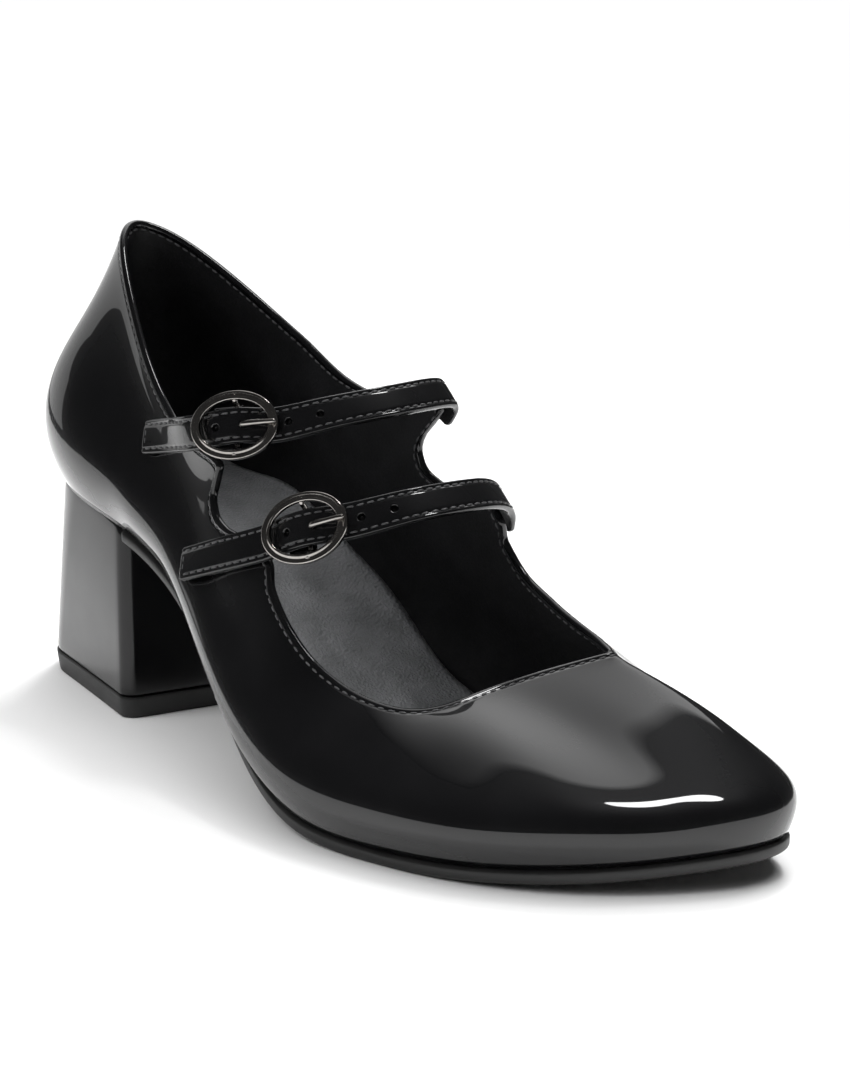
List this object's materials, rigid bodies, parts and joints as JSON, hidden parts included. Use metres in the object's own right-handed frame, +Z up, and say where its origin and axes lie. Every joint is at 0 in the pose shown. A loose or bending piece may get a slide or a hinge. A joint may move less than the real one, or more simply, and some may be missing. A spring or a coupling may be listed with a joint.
{
  "type": "mary jane shoe",
  "caption": "Low-cut patent shoe with two buckled instep straps, soft square toe and flared block heel.",
  "frame": {"origin": "centre of the bounding box in plan, on the floor the shoe stands on", "axes": "+X from the heel to the toe, +Y to the medial side of the foot, +Z up"},
  "size_m": [0.2402, 0.0918, 0.1266],
  "materials": {
    "patent_leather": "high gloss patent",
    "heel_cover": "high gloss patent over the heel",
    "sock_leather": "matt fine grain",
    "sole_rubber": "satin",
    "buckle_metal": "polished dark nickel"
  },
  "bodies": {
    "root": {"upper": "patent_leather", "insole": "sock_leather", "outsole": "sole_rubber", "heel_block": "heel_cover", "heel_top_lift": "sole_rubber", "strap_upper": "patent_leather", "strap_lower": "patent_leather", "buckle_frame_upper": "buckle_metal", "buckle_frame_lower": "buckle_metal", "buckle_prong_upper": "buckle_metal", "buckle_prong_lower": "buckle_metal"}
  },
  "joints": []
}
